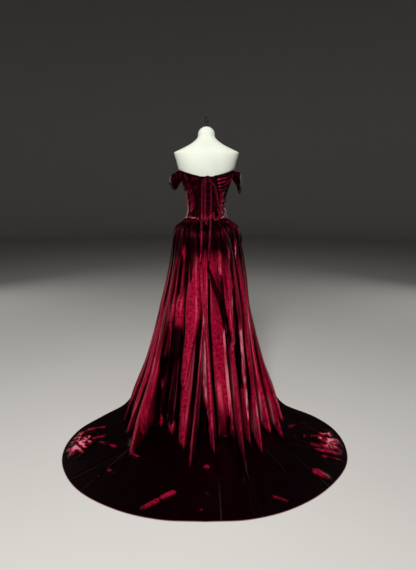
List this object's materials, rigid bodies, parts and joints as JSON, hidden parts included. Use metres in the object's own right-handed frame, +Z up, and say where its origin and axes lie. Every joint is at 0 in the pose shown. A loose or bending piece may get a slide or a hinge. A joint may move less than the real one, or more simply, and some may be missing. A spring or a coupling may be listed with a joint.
{
  "type": "prom dress on a dress form",
  "caption": "Off-the-shoulder velvet evening gown with a laced corset back and a round train, worn by a limbless dress form on a pole stand.",
  "frame": {"origin": "centre of the stand foot's flat underside, on the floor under the form's axis", "axes": "+Z up the pole, -Y towards the front of the gown, +X towards the wearer's left; the train runs out towards +Y"},
  "size_m": [1.3359, 1.4849, 1.6356],
  "materials": {
    "velvet": "wine-red velvet pile that flares pale pink along its folds",
    "ribbon": "wine-red ribbon with a soft sheen",
    "binding": "near-black bias binding",
    "form_cover": "smooth off-white jersey drawn over the form",
    "stand_metal": "dark bronze lacquer, satin"
  },
  "bodies": {
    "root": {"binding_back_left": "binding", "bodice_back_left": "velvet", "bodice_back_right": "velvet", "bodice_centre_front": "velvet", "bodice_side_back_left": "velvet", "bodice_side_back_right": "velvet", "bodice_side_front_left": "velvet", "bodice_side_front_right": "velvet", "bodice_side_left": "velvet", "bodice_side_right": "velvet", "drape_back_right": "velvet", "drape_end_left": "velvet", "drape_front": "velvet", "form_finial": "stand_metal", "form_neck_cap": "form_cover", "form_torso": "form_cover", "lacing_cross_1": "ribbon", "lacing_cross_2": "ribbon", "lacing_cross_3": "ribbon", "lacing_cross_4": "ribbon", "lacing_cross_5": "ribbon", "lacing_cross_6": "ribbon", "lacing_loops_left": "ribbon", "lacing_loops_right": "ribbon", "modesty_panel": "velvet", "ribbon_knot": "ribbon", "ribbon_loop_left": "ribbon", "ribbon_loop_right": "ribbon", "ribbon_tail_left": "ribbon", "ribbon_tail_right": "ribbon", "skirt_back_left": "velvet", "skirt_back_right": "velvet", "skirt_front": "velvet", "skirt_side_left": "velvet", "skirt_side_right": "velvet", "sleeve_left": "velvet", "sleeve_right": "velvet", "stand_foot": "stand_metal", "stand_pole": "stand_metal"}
  },
  "joints": []
}
